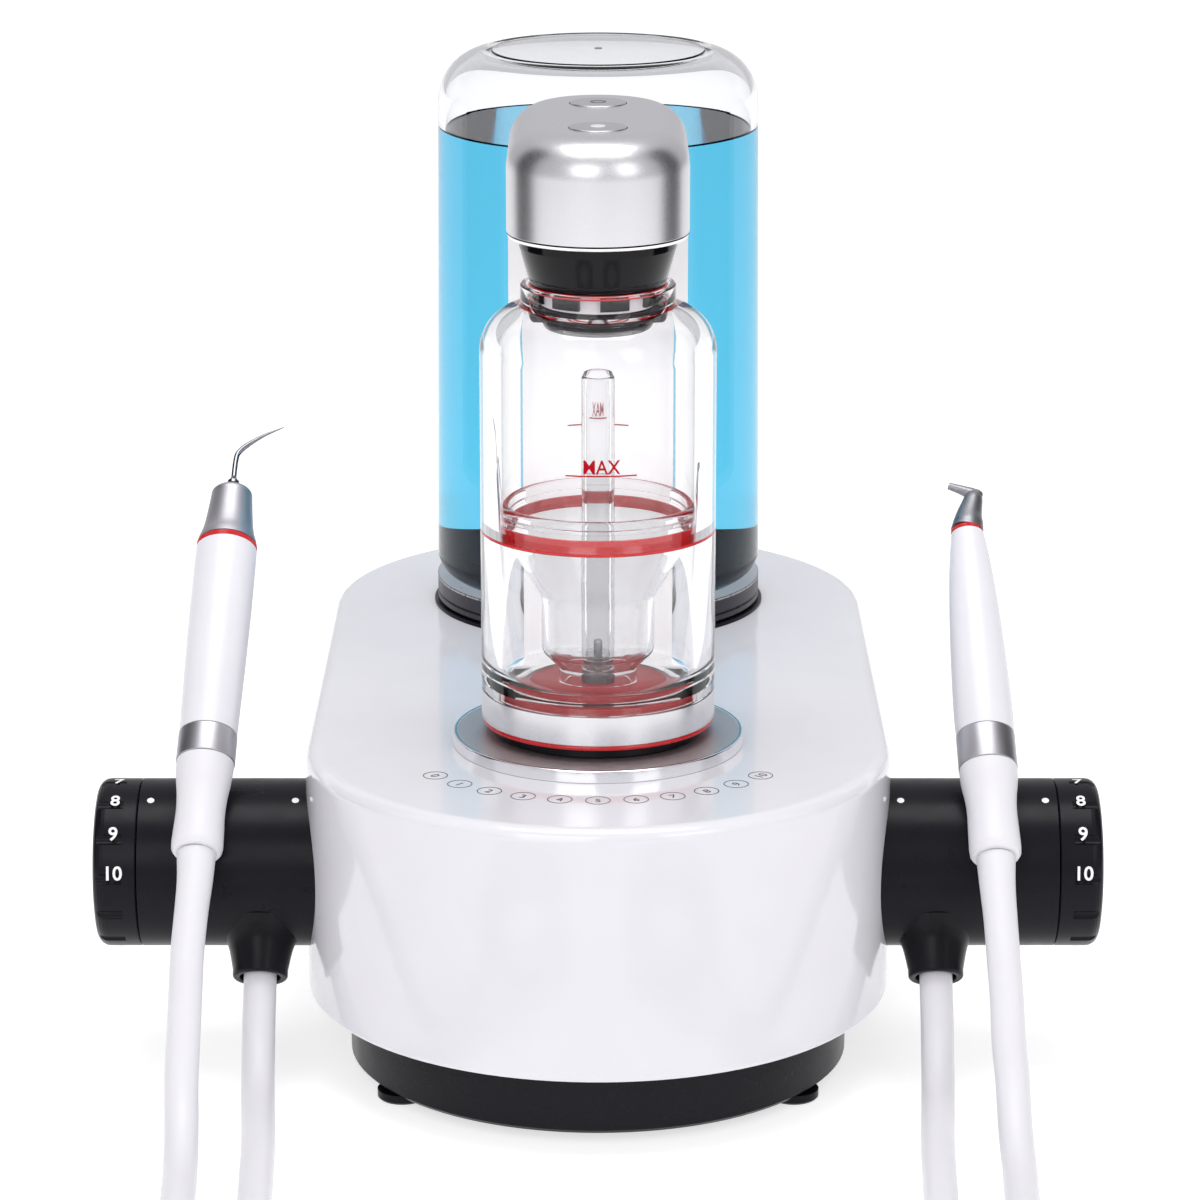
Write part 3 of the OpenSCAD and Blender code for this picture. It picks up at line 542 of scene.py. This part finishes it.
def chamber():
    """The powder chamber: foot, clear walls, seam ring, funnel and feed tube."""
    boss_top = 91.6
    band_low = 92.9
    core_r = 24
    floor = span("chamber_foot")[1].z - 1
    seam = CHAMBER_HIGH.z
    seam_top = seam + 3.1
    inside = CHAMBER_R - 5
    rim = CHAMBER_R + 0.02
    neck_top = span("chamber_upper")[1].z
    neck_r = 19.6
    shoulder_z = 188.5
    # The boss is black and wider than the real one: partly the real boss, partly painted shade for the
    # shaded gap under the chamber.
    outline = rounded([(0, 85.8), (19.8, 85.8, 0.5), (19.8, 88.9), (27, 88.9, 0.4), (27, boss_top),
                       (0, boss_top)])
    stand_for(lathe("chamber_boss_and_painted_shade", outline, "chamber", BLACK_GLOSS, ON_CHAMBER), "lid_black",
              "chamber_foot")
    outline = rounded([(core_r, boss_top), (CHAMBER_R - 0.5, boss_top, 0.5), (CHAMBER_R - 0.05, 92.3, 0.4),
                       (CHAMBER_R - 0.4, band_low), (core_r, band_low)])
    stand_for(lathe("chamber_red_ring", outline, "chamber", RED, ON_CHAMBER), "foot_red", "chamber_foot")
    outline = rounded([(core_r, band_low), (CHAMBER_R, band_low, 0.25), (CHAMBER_R, floor, 0.3),
                       (core_r, floor)])
    stand_for(lathe("chamber_band", outline, "chamber", BAND, ON_CHAMBER), "head_metal", "chamber_foot")
    outline = rounded([(0, 91.7), (inside - 0.1, 91.7), (inside - 0.1, floor + 1, 0.4), (0, floor + 1)])
    stand_for(lathe("chamber_floor", outline, "chamber", RED_SATIN, ON_CHAMBER), "foot_red", "chamber_foot")
    # The lower wall turns into the floor with a round fillet of clear plastic.
    outline = [(inside - 0.05, floor + 0.1), (CHAMBER_R, floor + 0.1), (CHAMBER_R, seam - 0.1),
               (inside, seam - 0.1), *bow(inside - 7, floor + 8.1, 7, 0, -90), (inside - 0.05, floor + 1.1)]
    stand_for(lathe("chamber_lower_wall", outline, "chamber", CLEAR, ON_CHAMBER, FINE), "clear_wall",
              "chamber_lower")
    # The seam is a broad ring inside the wall and a thin line on its face.
    outline = rounded([(23.4, seam), (rim, seam), (rim, seam + 0.55), (inside - 0.1, seam + 0.55),
                       (inside - 0.1, seam_top, 0.3), (23.4, seam_top, 0.3)])
    stand_for(lathe("chamber_seam", outline, "chamber", RED, ON_CHAMBER), "ring_red", "chamber_upper")
    outline = [(CHAMBER_R, seam + 0.65), *bow(CHAMBER_R - 12, shoulder_z, 12, 0, 80), (neck_r, 201.2),
               (neck_r, neck_top + 1), (19.2, neck_top + 1.4), (18.2, neck_top + 1.4), (18.2, 199.6),
               *reversed(bow(inside - 9, 188.6, 9, 0, 76)), (inside, seam + 0.65)]
    stand_for(lathe("chamber_upper_wall", outline, "chamber", CLEAR, ON_CHAMBER, FINE), "clear_wall",
              "chamber_upper")
    outline = rounded([(24.8, 150, 1), (22.8, 150, 0.8), (22.8, 147.6, 0.3), (22.1, 147.0, 0.3),
                       (22.8, 146.4, 0.3), (22.8, 143.2, 5), (13, 125.5, 5), (13, 111, 3),
                       (8.6, 106.5, 2), (8.6, floor + 1.2),
                       (10.1, floor + 1.2), (10.1, 106, 2), (14.5, 110.4, 3), (14.5, 124.9, 5),
                       (24.2, 141.5, 1), (24.8, 143)])
    stand_for(lathe("powder_funnel_cone", outline, "chamber", CLEAR, ON_CHAMBER), "clear_insert",
              "powder_funnel")
    outline = rounded([(4.2, 106), (4.2, 182.1, 0.5), (3, 182.1, 0.5), (3, 106)])
    stand_for(lathe("feed_tube", outline, "chamber", CLEAR, ON_CHAMBER, 48), "clear_insert", "powder_funnel")
    outline = rounded([(0, floor + 1.1), (1.1, floor + 1.1), (1.1, 113, 0.5), (0, 113)])
    lathe("feed_pin", outline, "chamber", STEEL, ON_CHAMBER, 24)
    outline = [(0, floor + 1.1), (4.2, floor + 1.1), (4.2, 105), (3.7, 105.5), (0, 105.5)]
    lathe("feed_nut", outline, "chamber", DARK_GREY, ON_CHAMBER, 6)


chamber()

CAPITAL_SHARE = 0.73  # height of a capital or figure as a share of the type size


def lettering(text, height, bend, depth=0.08, thicken=0.0):
    """Flat characters bent onto a surface: bend maps (x, y, depth) in millimetres to a point."""
    curve = bpy.data.curves.new("lettering", "FONT")
    curve.body = text
    curve.size = height / CAPITAL_SHARE
    curve.align_x = "CENTER"
    curve.offset = thicken
    curve.extrude = depth / 2
    curve.resolution_u = 4
    holder = bpy.data.objects.new("lettering", curve)
    bpy.context.scene.collection.objects.link(holder)
    bpy.context.view_layer.update()
    mesh = bpy.data.meshes.new_from_object(holder.evaluated_get(bpy.context.evaluated_depsgraph_get()))
    bpy.data.objects.remove(holder)
    bm = bmesh.new()
    bm.from_mesh(mesh)
    middle = height / 2
    for vertex in bm.verts:
        x, y, z = vertex.co
        vertex.co = bend(x, y - middle, z)
    return bm


def merged(name, parts, body, material, place=None):
    """Several bmeshes as one piece."""
    whole = bmesh.new()
    for part in parts:
        mesh = bpy.data.meshes.new("part")
        part.to_mesh(mesh)
        part.free()
        whole.from_mesh(mesh)
        bpy.data.meshes.remove(mesh)
    return finish_mesh(name, whole, body, material, place)


def around(radius, turn):
    """Bends characters round a vertical cylinder, facing -Y when turn is 0."""
    def bend(x, y, z):
        a = turn + x / radius
        return Vector(((radius + z) * math.sin(a), -(radius + z) * math.cos(a), y))
    return bend


def band_on(radius, half_width, z0, z1, turn, thick=0.08, steps=16):
    """A thin strip on a vertical cylinder."""
    bm = bmesh.new()
    rows = []
    for k in range(steps + 1):
        a = turn + half_width / radius * (2 * k / steps - 1)
        rows.append([bm.verts.new((r * math.sin(a), -r * math.cos(a), z))
                     for r, z in ((radius, z0), (radius + thick, z0), (radius + thick, z1), (radius, z1))])
    for a, b in zip(rows, rows[1:]):
        for i in range(4):
            bm.faces.new((a[i], a[(i + 1) % 4], b[(i + 1) % 4], b[i]))
    bm.faces.new(rows[0])
    bm.faces.new(list(reversed(rows[-1])))
    return bm


def level_marks():
    """The fill level on the front and the back of the chamber: a word over a line."""
    front_turn = 0.027
    line_z = 162.7
    word_z = 165.3
    narrow = 0.86
    parts = []
    for turn in (front_turn, math.pi):
        bend = around(CHAMBER_R + 0.06, turn)
        parts.append(lettering("MAX", 3.7, lambda x, y, z, bend=bend: bend(narrow * x, y, z)
                               + Vector((0, 0, word_z)), 0.05, 0.05))
        parts.append(band_on(CHAMBER_R + 0.02, 9, line_z, line_z + 0.35, turn))
    merged("level_marks", parts, "chamber", PRINT_RED, ON_CHAMBER)


level_marks()

# ---- lid and head ----

BUTTON_R = 7.25


def head():
    """The lid with its seal and catches, and the head with its two buttons."""
    seat = HEAD_Z + 1.2
    plug_low = 193.5
    plug_r = 14
    cone_low = 205.8
    outline = [(0, plug_low), *bow(plug_r - 1.8, 195.3, 1.8, -90, 0), (plug_r, cone_low), (17, cone_low),
               (17.5, 206.9), *bow(18.7, 215.6, 1.2, -15, 0, 3), (19.9, HEAD_Z - 0.05), (0, HEAD_Z - 0.05)]
    stand_for(lathe("lid_plug", outline, "head", BLACK_GLOSS, ON_CHAMBER), "lid_black", "lid_collar")
    outline = rounded([(14.05, 200.2), (15, 200.2, 0.3), (15, 204.4), (14.05, 204.4)])
    lathe("lid_sleeve", outline, "head", WHITE_SATIN, ON_CHAMBER)
    outline = rounded([(14.9, 201.2), (16.4, 201.2, 0.3), (16.4, 204.4, 0.3), (14.9, 204.4)])
    catches = [(angle, 26) for angle in range(15, 375, 45)]
    sector("lid_catches", outline, catches, "head", BLACK_GLOSS, ON_CHAMBER)
    outline = rounded([(14.05, 204.45), (17.6, 204.45, 0.5), (17.6, 205.75, 0.5), (14.05, 205.75)])
    stand_for(lathe("lid_seal_ring", outline, "head", RED, ON_CHAMBER), "ring_red", "lid_seal")
    outline = rounded([(13.9, 195.2, 0.4), (17.6, 195.2, 1.2), (17.6, 199.8, 1.2), (13.9, 199.8, 0.4)])
    sector("lid_lugs", outline, [(0, 34), (180, 34)], "head", BLACK_GLOSS, ON_CHAMBER)
    outline = rounded([(0, seat), (HEAD_R, seat, 0.2), (HEAD_R, HEAD_TOP, 10), (0, HEAD_TOP)], 5)
    shell = pill("head_cover", outline, CHAMBER_Y, COLUMN_Y, "head", SILVER)
    hole_r = BUTTON_R + 0.2
    hole_low, hole_high = 236, 260
    for y in (CHAMBER_Y, COLUMN_Y):
        hole = [(0, hole_low), (hole_r, hole_low), (hole_r, hole_high), (0, hole_high)]
        cutter = lathe("cutter", hole, "head", SILVER, at(0, y))
        cut = shell.modifiers.new("hole", "BOOLEAN")
        cut.operation = "DIFFERENCE"
        cut.solver = "EXACT"
        cut.object = cutter
        bpy.context.view_layer.update()
        mesh = bpy.data.meshes.new_from_object(shell.evaluated_get(bpy.context.evaluated_depsgraph_get()))
        shell.modifiers.clear()
        shell.data = mesh
        bpy.data.objects.remove(cutter)
    shell.data.shade_smooth()
    shell.data.set_sharp_from_angle(angle=SHARP)
    stand_for(shell, "head_metal", "head_shell")
    outline = rounded([(0, HEAD_Z), (HEAD_R - 0.3, HEAD_Z, 0.4), (HEAD_R - 0.05, seat, 0.3), (0, seat)])
    stand_for(pill("head_lip", outline, CHAMBER_Y, COLUMN_Y, "head", POLISHED), "head_trim", "head_base")
    for body, y in (("front_button", CHAMBER_Y), ("rear_button", COLUMN_Y)):
        outline = rounded([(0, 241), (BUTTON_R, 241), (BUTTON_R, HEAD_TOP + 0.35, 0.4),
                           (0, HEAD_TOP + 0.35)])
        stand_for(lathe(body + "_cap", outline, body, BUTTON, at(0, y)), "button_metal", body)
    inset = 244
    outline = rounded([(0, inset), (1.9, inset), (1.9, HEAD_TOP + 0.55, 0.15), (0, HEAD_TOP + 0.55)])
    lathe("front_button_lens", outline, "front_button", WHITE, at(0, CHAMBER_Y), 32)
    outline = rounded([(1.5, inset), (2.1, inset), (2.1, HEAD_TOP + 0.42, 0.1), (1.5, HEAD_TOP + 0.42, 0.1)])
    lathe("rear_button_ring", outline, "rear_button", DARK_GREY, at(0, COLUMN_Y), 32)


head()

# ---- water bottle ----


def bottle():
    """The inverted bottle with its water, a navy disc of painted shade low in the water, and the pale rim of
    its cap.
    """
    low = BOTTLE_LOW.z
    high = BOTTLE_HIGH.z
    level = span("bottle_water")[1].z
    end_r = BOTTLE_R - 1.2
    corner = 7
    dome = 14
    wall = 2
    water_gap = 1.8
    mouth_r = 11.9
    foot_r = BOTTLE_R - corner
    dimple_r = end_r - dome - 1.2
    dome_y = high - dome
    outline = [(mouth_r, low), *bow(foot_r, low + corner, corner, -90, 0),
               *bow(end_r - dome, dome_y, dome, 0, 86), (end_r - 14.2, high - 0.5),
               (end_r - 14.9, high - 0.5), (dimple_r, high), (0, high), (0, high - wall),
               (dimple_r, high - wall),
               *reversed(bow(end_r - dome, dome_y, dome - wall, 0, 86)),
               *reversed(bow(foot_r, low + corner, corner - wall, -90, 0)), (mouth_r, low + wall)]
    stand_for(lathe("bottle_shell", outline, "bottle", BOTTLE_CLEAR, ON_BOTTLE, FINE), "bottle_clear",
              "bottle")
    outline = rounded([(0, high - 0.2), (1.1, high - 0.2), (1.1, high + 0.35, 0.3), (0, high + 0.35)])
    lathe("bottle_centre_mark", outline, "bottle", BOTTLE_CLEAR, ON_BOTTLE, 32)
    outline = [(0, low + water_gap), *bow(foot_r, low + corner, corner - water_gap, -90, 0),
               (end_r - water_gap, level), (0, level)]
    stand_for(lathe("bottle_liquid", outline, "bottle", WATER, ON_BOTTLE, FINE), "water_blue",
              "bottle_water")
    outline = rounded([(end_r - 2.6, level - 0.25), (end_r - 1.7, level - 0.25, 0.1),
                       (end_r - 1.7, level + 0.3, 0.1), (end_r - 2.6, level + 0.1, 0.1)])
    lathe("bottle_water_line", outline, "bottle", NAVY, ON_BOTTLE)
    # A navy disc low in the water is painted shade, for the darker band at the bottom of the water.
    outline = rounded([(0, low + 2.4), (37, low + 2.4, 1), (38, low + 8.5, 0.8), (0, low + 8.5)])
    lathe("bottle_painted_shade_disc", outline, "bottle", NAVY, ON_BOTTLE)
    rim = BOTTLE_R + 0.02
    outline = rounded([(39, low - 0.8), (rim, low - 0.8, 0.2), (rim, low + 0.1, 0.4), (39, low + 0.1)])
    lathe("bottle_cap_rim", outline, "bottle", LIGHT_GREY, ON_BOTTLE)


bottle()

# ---- dock, touch scale, knobs and glands ----

GLAND_X = 87
GLAND_TURN = math.radians(142)


def dock_rim():
    """The bright edge round the dock."""
    low, high = BODY_TOP + 0.05, BODY_TOP + 3.25
    outline = rounded([(36.4, low), (37.45, low, 0.2), (37.45, high, 0.45), (36.4, high, 0.2)])
    lathe("dock_rim", outline, "root", POLISHED, ON_CHAMBER, FINE)


def touch_scale():
    """Eleven numbered circles in an arc in front of the dock."""
    arc_r = 51
    step = 10.68
    ring_inner, ring_outer, ring_high = 2.95, 3.15, 0.05
    parts = []
    for n in range(11):
        a = math.radians(-5 * step + step * n)
        middle = Vector((arc_r * math.sin(a), -arc_r * math.cos(a), BODY_TOP + 0.02))
        right = Vector((math.cos(a), math.sin(a), 0))
        up = Vector((-math.sin(a), math.cos(a), 0))
        parts.append(lettering(str(n), 2.6, lambda x, y, z, m=middle, r=right, u=up: m + r * x + u * y
                               + Vector((0, 0, z)), 0.06))
        ring = bmesh.new()
        swept_outline(ring, [(ring_inner, 0), (ring_outer, 0), (ring_outer, ring_high),
                             (ring_inner, ring_high)], circle(40))
        ring.transform(Matrix.Translation(middle))
        parts.append(ring)
    merged("touch_scale", parts, "root", PRINT_GREY, ON_CHAMBER)


def knob_numbers(side, body):
    """The numbers 0 to 10 round a knob, upright as seen from the front."""
    step = 27
    front_number, front_angle = 8, 25.2
    numbers_x = 124.1
    parts = []
    for n in range(11):
        turn = math.radians(front_angle + step * (n - front_number))

        def bend(x, y, z, turn=turn):
            a = turn - y / ARM_R
            r = ARM_R + 0.05 + z
            return Vector((side * numbers_x + x, -r * math.sin(a), r * math.cos(a)))
        parts.append(lettering(str(n), 3.7, bend, 0.1, 0.09))
    merged(body + "_numbers", parts, body, PRINT_WHITE, at(0, CHAMBER_Y, ARM_Z))


def arm_dots():
    """A white index dot beside each knob and one beside the housing."""
    a = math.radians(25.4)
    dot_r = 0.93
    parts = []
    for x in (-115, -77.8, 77.8, 115):
        dot = bmesh.new()
        swept_outline(dot, [(0, -0.3), (dot_r, -0.3), (dot_r, 0.06), (0.8, 0.1), (0, 0.1)], circle(24))
        dot.transform(Matrix.Translation((x, -ARM_R * math.sin(a), ARM_R * math.cos(a)))
                      @ Matrix.Rotation(a, 4, "X"))
        parts.append(dot)
    merged("arm_dots", parts, "root", PRINT_WHITE, at(0, CHAMBER_Y, ARM_Z))


def gland_boot(name, side, node):
    """The tapered rubber boot where the hose leaves the arm."""
    place = at(side * GLAND_X, CHAMBER_Y, ARM_Z) @ Matrix.Rotation(GLAND_TURN, 4, "X")
    outline = [(0, 17), *smooth_outline([(12.4, 18.2), (10, 20.4), (8.6, 22.8), (7.9, 25.4), (7.1, 29.6)]),
               *bow(6.3, 31, 0.8, 10, 90, 5), *bow(5.7, 31.3, 0.5, 90, 180, 4), (5.2, 28.8), (0, 28.8)]
    stand_for(lathe(name, outline, "root", BLACK_RUBBER, place), "gland_black", node)


dock_rim()
touch_scale()
knob_numbers(-1, "left_knob")
knob_numbers(1, "right_knob")
arm_dots()
gland_boot("left_gland_boot", -1, "left_gland")
gland_boot("right_gland_boot", 1, "right_gland")

# ---- handpieces ----


def parts_of(body, place):
    """A function that turns the parts of one handpiece."""
    def part(name, outline, material, slot, *nodes):
        return stand_for(lathe(name, outline, body, material, place), slot, *nodes)
    return part


def stand_tube(name, path, radius, material, sides, slot, body, place, node):
    """A tube that belongs to a handpiece."""
    piece = tube(name, path, radius, material, sides, place)
    stand_for(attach(piece, body), slot, node)


def scaler():
    """The ultrasonic handpiece, from its boot to its tip."""
    part = parts_of("scaler", SCALER_FRAME)
    side = smooth_outline([(6.0, 0.25), (6.5, 1.0), (6.62, 2.2), (6.5, 6.5), (6.3, 12), (6.55, 17),
                           (7.1, 21.5), (7.48, 26.7)])
    part("scaler_sleeve", [(0, 0.05), (5.4, 0.05), *side, (0, 26.75)], SILICONE, "boot_white", "scaler_boot")
    part("scaler_collar", rounded([(5.6, 26.85), (7.62, 26.85, 0.25), (7.62, 35.25, 0.25), (5.6, 35.25)]),
         TURNED, "ring_metal", "scaler_metal_ring")
    side = smooth_outline([(7.5, 35.4), (7.7, 45), (7.98, 60), (8.12, 80), (8.05, 93.2)], 3)
    part("scaler_handle", [(5.6, 35.35), *side, (6, 93.25)], WHITE_SATIN, "grip_white", "scaler_grip")
    part("scaler_ring", rounded([(6, 93.3), (8.1, 93.3, 0.3), (8.05, 94.8, 0.3), (6, 94.8)]), RED,
         "ring_red", "scaler_red_ring")
    side = smooth_outline([(7.95, 94.95), (7.7, 96.2), (6.95, 98.6), (6.45, 101.4), (6.05, 104.8),
                           (5.7, 108.4), (5.5, 110.6)])
    part("scaler_head", [(0, 94.85), *side, *bow(3.9, 110.9, 1.6, 0, 90), (1.2, 112.8), (0, 112.8)], NOSE,
         "nose_metal", "scaler_nose")
    part("scaler_tip_neck", [(0, 112), (0.95, 112), (0.95, 114.6), (1.55, 114.8), (1.6, 115.6), (1.1, 116.2),
                             (0.72, 117.2), (0, 117.2)], TIP_STEEL, "tip_steel", "scaler_tip")
    blade = smooth_route([(0, 0, 116), (0, 0, 119.5), (0.1, 0, 122.6), (0.4, 0, 124.7), (1.3, 0, 126.2),
                          (3.0, 0, 128.0), (5.4, 0, 130.0), (7.7, 0, 131.6), (10, 0, 132.9),
                          (12.2, 0, 134.1)], 0.4)
    point, thick, taper = 0.13, 0.6, 0.05
    stand_tube("scaler_tip_blade", blade, lambda left: point + min(thick, taper * left), TIP_STEEL, 16,
               "tip_steel", "scaler", SCALER_FRAME, "scaler_tip")


def polisher():
    """The air-polishing handpiece, from its boot to its nozzle."""
    part = parts_of("polisher", POLISHER_FRAME)
    side = smooth_outline([(6.0, 0.25), (6.5, 1.0), (6.62, 2.3), (6.52, 8.2), (6.4, 13.5), (6.7, 18),
                           (7.3, 22), (7.53, 26.1)])
    part("polisher_sleeve", [(0, 0.05), (5.4, 0.05), *side, (0, 26.15)], SILICONE, "boot_white",
         "polisher_boot")
    part("polisher_collar", rounded([(3, 26.25), (7.6, 26.25, 0.25), (7.6, 36.35, 0.25), (3, 36.35)]),
         TURNED, "ring_metal", "polisher_metal_ring")
    side = smooth_outline([(7.5, 36.5), (7.68, 42), (7.5, 52), (7.1, 64), (6.35, 78.6), (5.35, 91.4),
                           (4.35, 99.5)], 3)
    part("polisher_handle", [(3, 36.45), *side, (2, 99.55)], WHITE_SATIN, "grip_white", "polisher_grip")
    part("polisher_ring", rounded([(2, 99.6), (4.38, 99.6, 0.25), (4.33, 100.8, 0.25), (2, 100.8)]), RED,
         "ring_red", "polisher_red_ring")
    stem = smooth_route([(0, 0, 100.85), (0.37, 0, 102.8), (0.85, 0, 105.6), (1.7, 0, 108.6),
                         (2.33, 0, 110.8), (2.75, 0, 112.2), (2.95, 0, 112.9)], 0.5)
    stem_widths = [(0, 1.6), (0.7, 2.15), (1.9, 2.55), (4.2, 2.9), (7.3, 3.45), (10.2, 4.1), (12.3, 4.34)]
    stand_tube("polisher_nozzle_stem", stem, lambda left: between(left, stem_widths), NOZZLE, 32,
               "nozzle_metal", "polisher", POLISHER_FRAME, "polisher_nozzle")
    spout = smooth_route([(4.9, 0, 111.9), (4.6, 0, 112), (3.6, 0, 112.3), (1.4, 0, 113.2),
                          (-0.4, 0, 114.05), (-2.2, 0, 114.85), (-3.9, 0, 115.55)], 0.35)
    spout_widths = [(0, 0.95), (1.9, 1.1), (3.9, 1.3), (5.9, 1.55), (8.2, 1.6), (9.2, 1.15), (9.6, 0.5)]
    stand_tube("polisher_nozzle_spout", spout, lambda left: between(left, spout_widths), NOZZLE, 32,
               "nozzle_metal", "polisher", POLISHER_FRAME, "polisher_nozzle")


scaler()
polisher()

# ---- studio ----

SKY_COLOUR = (0.97, 0.965, 1.0)
SKY_STRENGTH = 0.62
STAGE_ROUGHNESS = 0.6
FLOOR = 4
FLOOR_GREY = 0.6
FLOOR_GLOW = 0.66
FLAG_X = 0.5
FLAG_FRONT, FLAG_BACK = -0.1, 0.25
FLAG_LOW, FLAG_HIGH = 0.001, 0.8
FLAG_GREY = 0.02

for glassy in ("chamber_lower_wall", "chamber_upper_wall", "powder_funnel_cone", "feed_tube", "bottle_shell",
               "bottle_liquid"):
    bpy.data.objects[glassy].visible_shadow = False

world = bpy.data.worlds.new("studio")
bpy.context.scene.world = world
world.use_nodes = True
world.node_tree.nodes["Background"].inputs["Color"].default_value = (*SKY_COLOUR, 1)
world.node_tree.nodes["Background"].inputs["Strength"].default_value = SKY_STRENGTH
bpy.context.scene.view_settings.view_transform = "Standard"


def area_light(name, place, target, size, power):
    light = bpy.data.lights.new(name, "AREA")
    light.shape = "RECTANGLE"
    light.size, light.size_y = size
    light.energy = power
    holder = bpy.data.objects.new(name, light)
    bpy.context.scene.collection.objects.link(holder)
    holder.location = place
    holder.rotation_euler = (Vector(target) - Vector(place)).to_track_quat("-Z", "Y").to_euler()


area_light("top softbox", place=(0, -0.1, 1.5), target=(0, -0.05, 0), size=(1.1, 0.7), power=10)
area_light("front softbox", place=(-0.5, -1.7, 1.0), target=(0, 0, 0.12), size=(1.0, 1.0), power=6)
area_light("side softbox", place=(0.9, -1.2, 0.9), target=(0, 0, 0.12), size=(0.6, 0.9), power=3)


def stage_plane(name, corners, colour, glow=0.0):
    """A plane of the studio, which is not part of the object."""
    mesh = bpy.data.meshes.new(name)
    mesh.from_pydata(corners, [], [tuple(range(len(corners)))])
    mesh.materials.append(plastic(name, colour, STAGE_ROUGHNESS, specular=0.1, glow=glow))
    plane = bpy.data.objects.new(name, mesh)
    bpy.context.scene.collection.objects.link(plane)
    return plane


stage_plane("floor", [(-FLOOR, -FLOOR, 0), (FLOOR, -FLOOR, 0), (FLOOR, FLOOR, 0), (-FLOOR, FLOOR, 0)],
            (FLOOR_GREY,) * 3, FLOOR_GLOW)
# Dark flags beside the object, seen only as the dark edges they give to clear and polished parts.
for side in (-1, 1):
    x = side * FLAG_X
    flag = stage_plane(f"flag {side}", [(x, FLAG_FRONT, FLAG_LOW), (x, FLAG_BACK, FLAG_LOW),
                                        (x, FLAG_BACK, FLAG_HIGH), (x, FLAG_FRONT, FLAG_HIGH)],
                       (FLAG_GREY,) * 3)
    flag.visible_camera = False
    flag.visible_diffuse = False
    flag.visible_shadow = False
